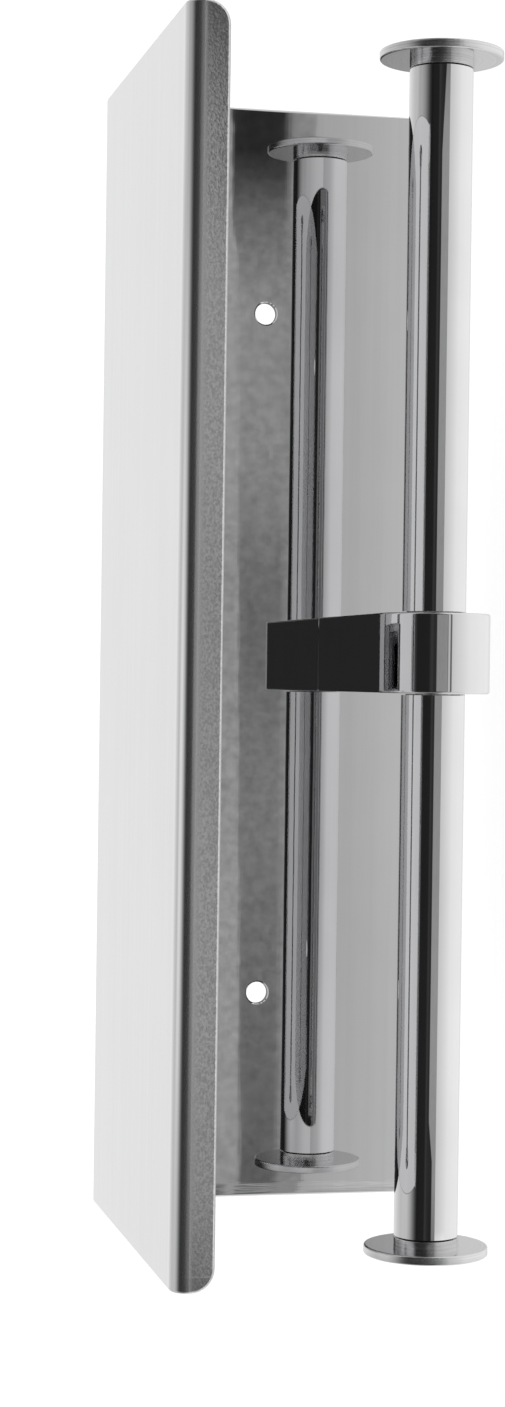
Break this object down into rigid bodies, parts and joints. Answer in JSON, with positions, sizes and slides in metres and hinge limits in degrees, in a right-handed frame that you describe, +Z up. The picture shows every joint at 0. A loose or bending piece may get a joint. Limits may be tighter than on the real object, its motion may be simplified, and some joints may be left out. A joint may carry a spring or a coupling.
{
  "type": "wall roll holder with shelf",
  "caption": "Wall-mounted shelf bent from one polished steel sheet, with a central bracket and two free-turning arms under it that carry rolls between end discs",
  "frame": {"origin": "on the wall face, midway between the two wall-screw holes", "axes": "+X to the right along the arms, +Y into the wall, +Z up"},
  "size_m": [0.271, 0.104, 0.092],
  "materials": {
    "polished_sheet": "mirror-polished stainless sheet",
    "polished_bracket": "mirror-polished stainless casting",
    "polished_tube": "mirror-polished stainless tube",
    "polished_cap": "turned and polished stainless steel",
    "plain_steel": "bright drawn steel",
    "black_steel": "black oxide",
    "nylon_bush": "natural nylon"
  },
  "bodies": {
    "holder": {"shelf_sheet": "polished_sheet", "bracket_body": "polished_bracket", "bracket_screws": "plain_steel", "axle_rod": "plain_steel", "axle_grub_screw": "black_steel", "right_end_cap": "polished_cap", "left_end_cap": "polished_cap"},
    "right_arm": {"right_arm_tube": "polished_tube", "right_inner_bush": "nylon_bush", "right_outer_bush": "nylon_bush"},
    "left_arm": {"left_arm_tube": "polished_tube", "left_inner_bush": "nylon_bush", "left_outer_bush": "nylon_bush"}
  },
  "joints": [
    {"name": "right_arm_spin", "type": "hinge", "parent": "holder", "child": "right_arm", "pos_m": [0.07035, -0.0585, -0.027], "axis": [1, 0, 0], "continuous": true},
    {"name": "left_arm_spin", "type": "hinge", "parent": "holder", "child": "left_arm", "pos_m": [-0.07035, -0.0585, -0.027], "axis": [1, 0, 0], "continuous": true}
  ]
}
